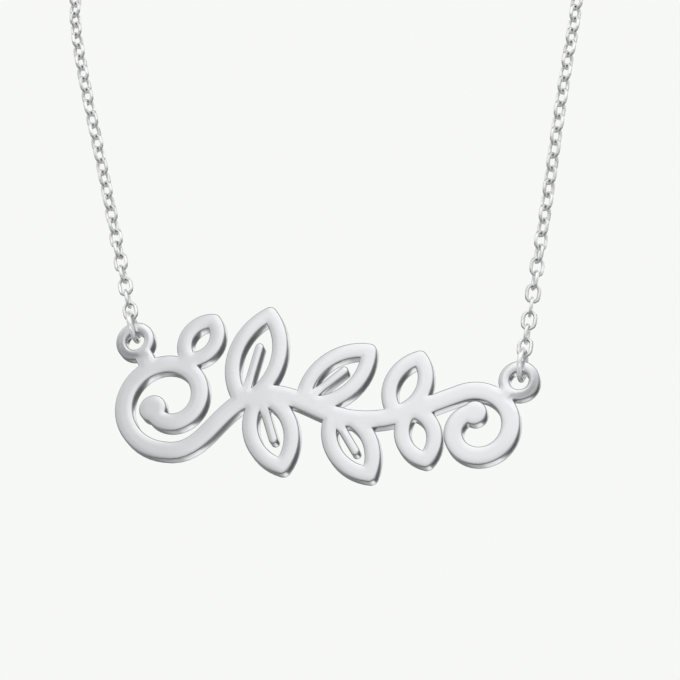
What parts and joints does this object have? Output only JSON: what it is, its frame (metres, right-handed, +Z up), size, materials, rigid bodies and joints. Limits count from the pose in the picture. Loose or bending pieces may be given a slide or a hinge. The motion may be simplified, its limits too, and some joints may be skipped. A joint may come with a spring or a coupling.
{
  "type": "nameplate necklace",
  "caption": "Polished silver nameplate necklace: a pierced vine plate hung by two rings from a fine cable chain with a ring clasp, in its worn shape.",
  "frame": {"origin": "nape rest: the inner face of the clasp, midway across, where the necklace lies on the back of the neck", "axes": "+Z up, -Y to the front where the plate hangs, +X to the right as seen from the front"},
  "size_m": [0.1066, 0.1117, 0.1216],
  "materials": {
    "polished_silver": "polished sterling silver with softly rounded edges",
    "chain_silver": "polished sterling silver wire, slightly darker between the links"
  },
  "bodies": {
    "chain": {"chain_left_front": "chain_silver", "chain_right_front": "chain_silver", "chain_left_back": "chain_silver", "chain_right_back": "chain_silver", "clasp": "polished_silver", "end_ring": "polished_silver"},
    "pendant": {"nameplate": "polished_silver", "ring_left": "polished_silver", "ring_right": "polished_silver"}
  },
  "joints": [
    {"name": "pendant_swing", "type": "hinge", "parent": "chain", "child": "pendant", "pos_m": [-0.00005, -0.108, -0.10361], "axis": [0.9804, 0, -0.1971], "range_deg": [-40, 40]}
  ]
}
